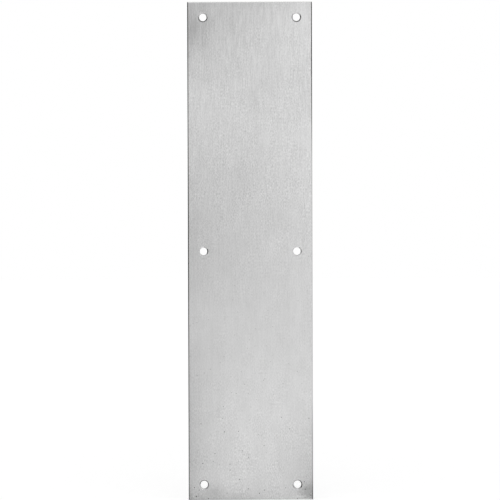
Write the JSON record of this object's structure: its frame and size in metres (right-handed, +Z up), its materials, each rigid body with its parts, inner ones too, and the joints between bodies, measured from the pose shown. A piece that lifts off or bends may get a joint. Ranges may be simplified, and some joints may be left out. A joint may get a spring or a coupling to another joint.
{
  "type": "door finger plate",
  "caption": "Flat rectangular finger plate of brushed steel with bevelled front edges and countersunk screw holes, fixed to a door to take the wear of hands.",
  "frame": {"origin": "middle of the back face, on the door", "axes": "+Z up the plate's length, +X across it to the right as seen from the front, +Y into the door, so the front faces -Y"},
  "size_m": [0.1016, 0.0013, 0.4064],
  "materials": {
    "satin_steel": "satin, brushed along its length"
  },
  "bodies": {
    "root": {"finger_plate": "satin_steel"}
  },
  "joints": []
}
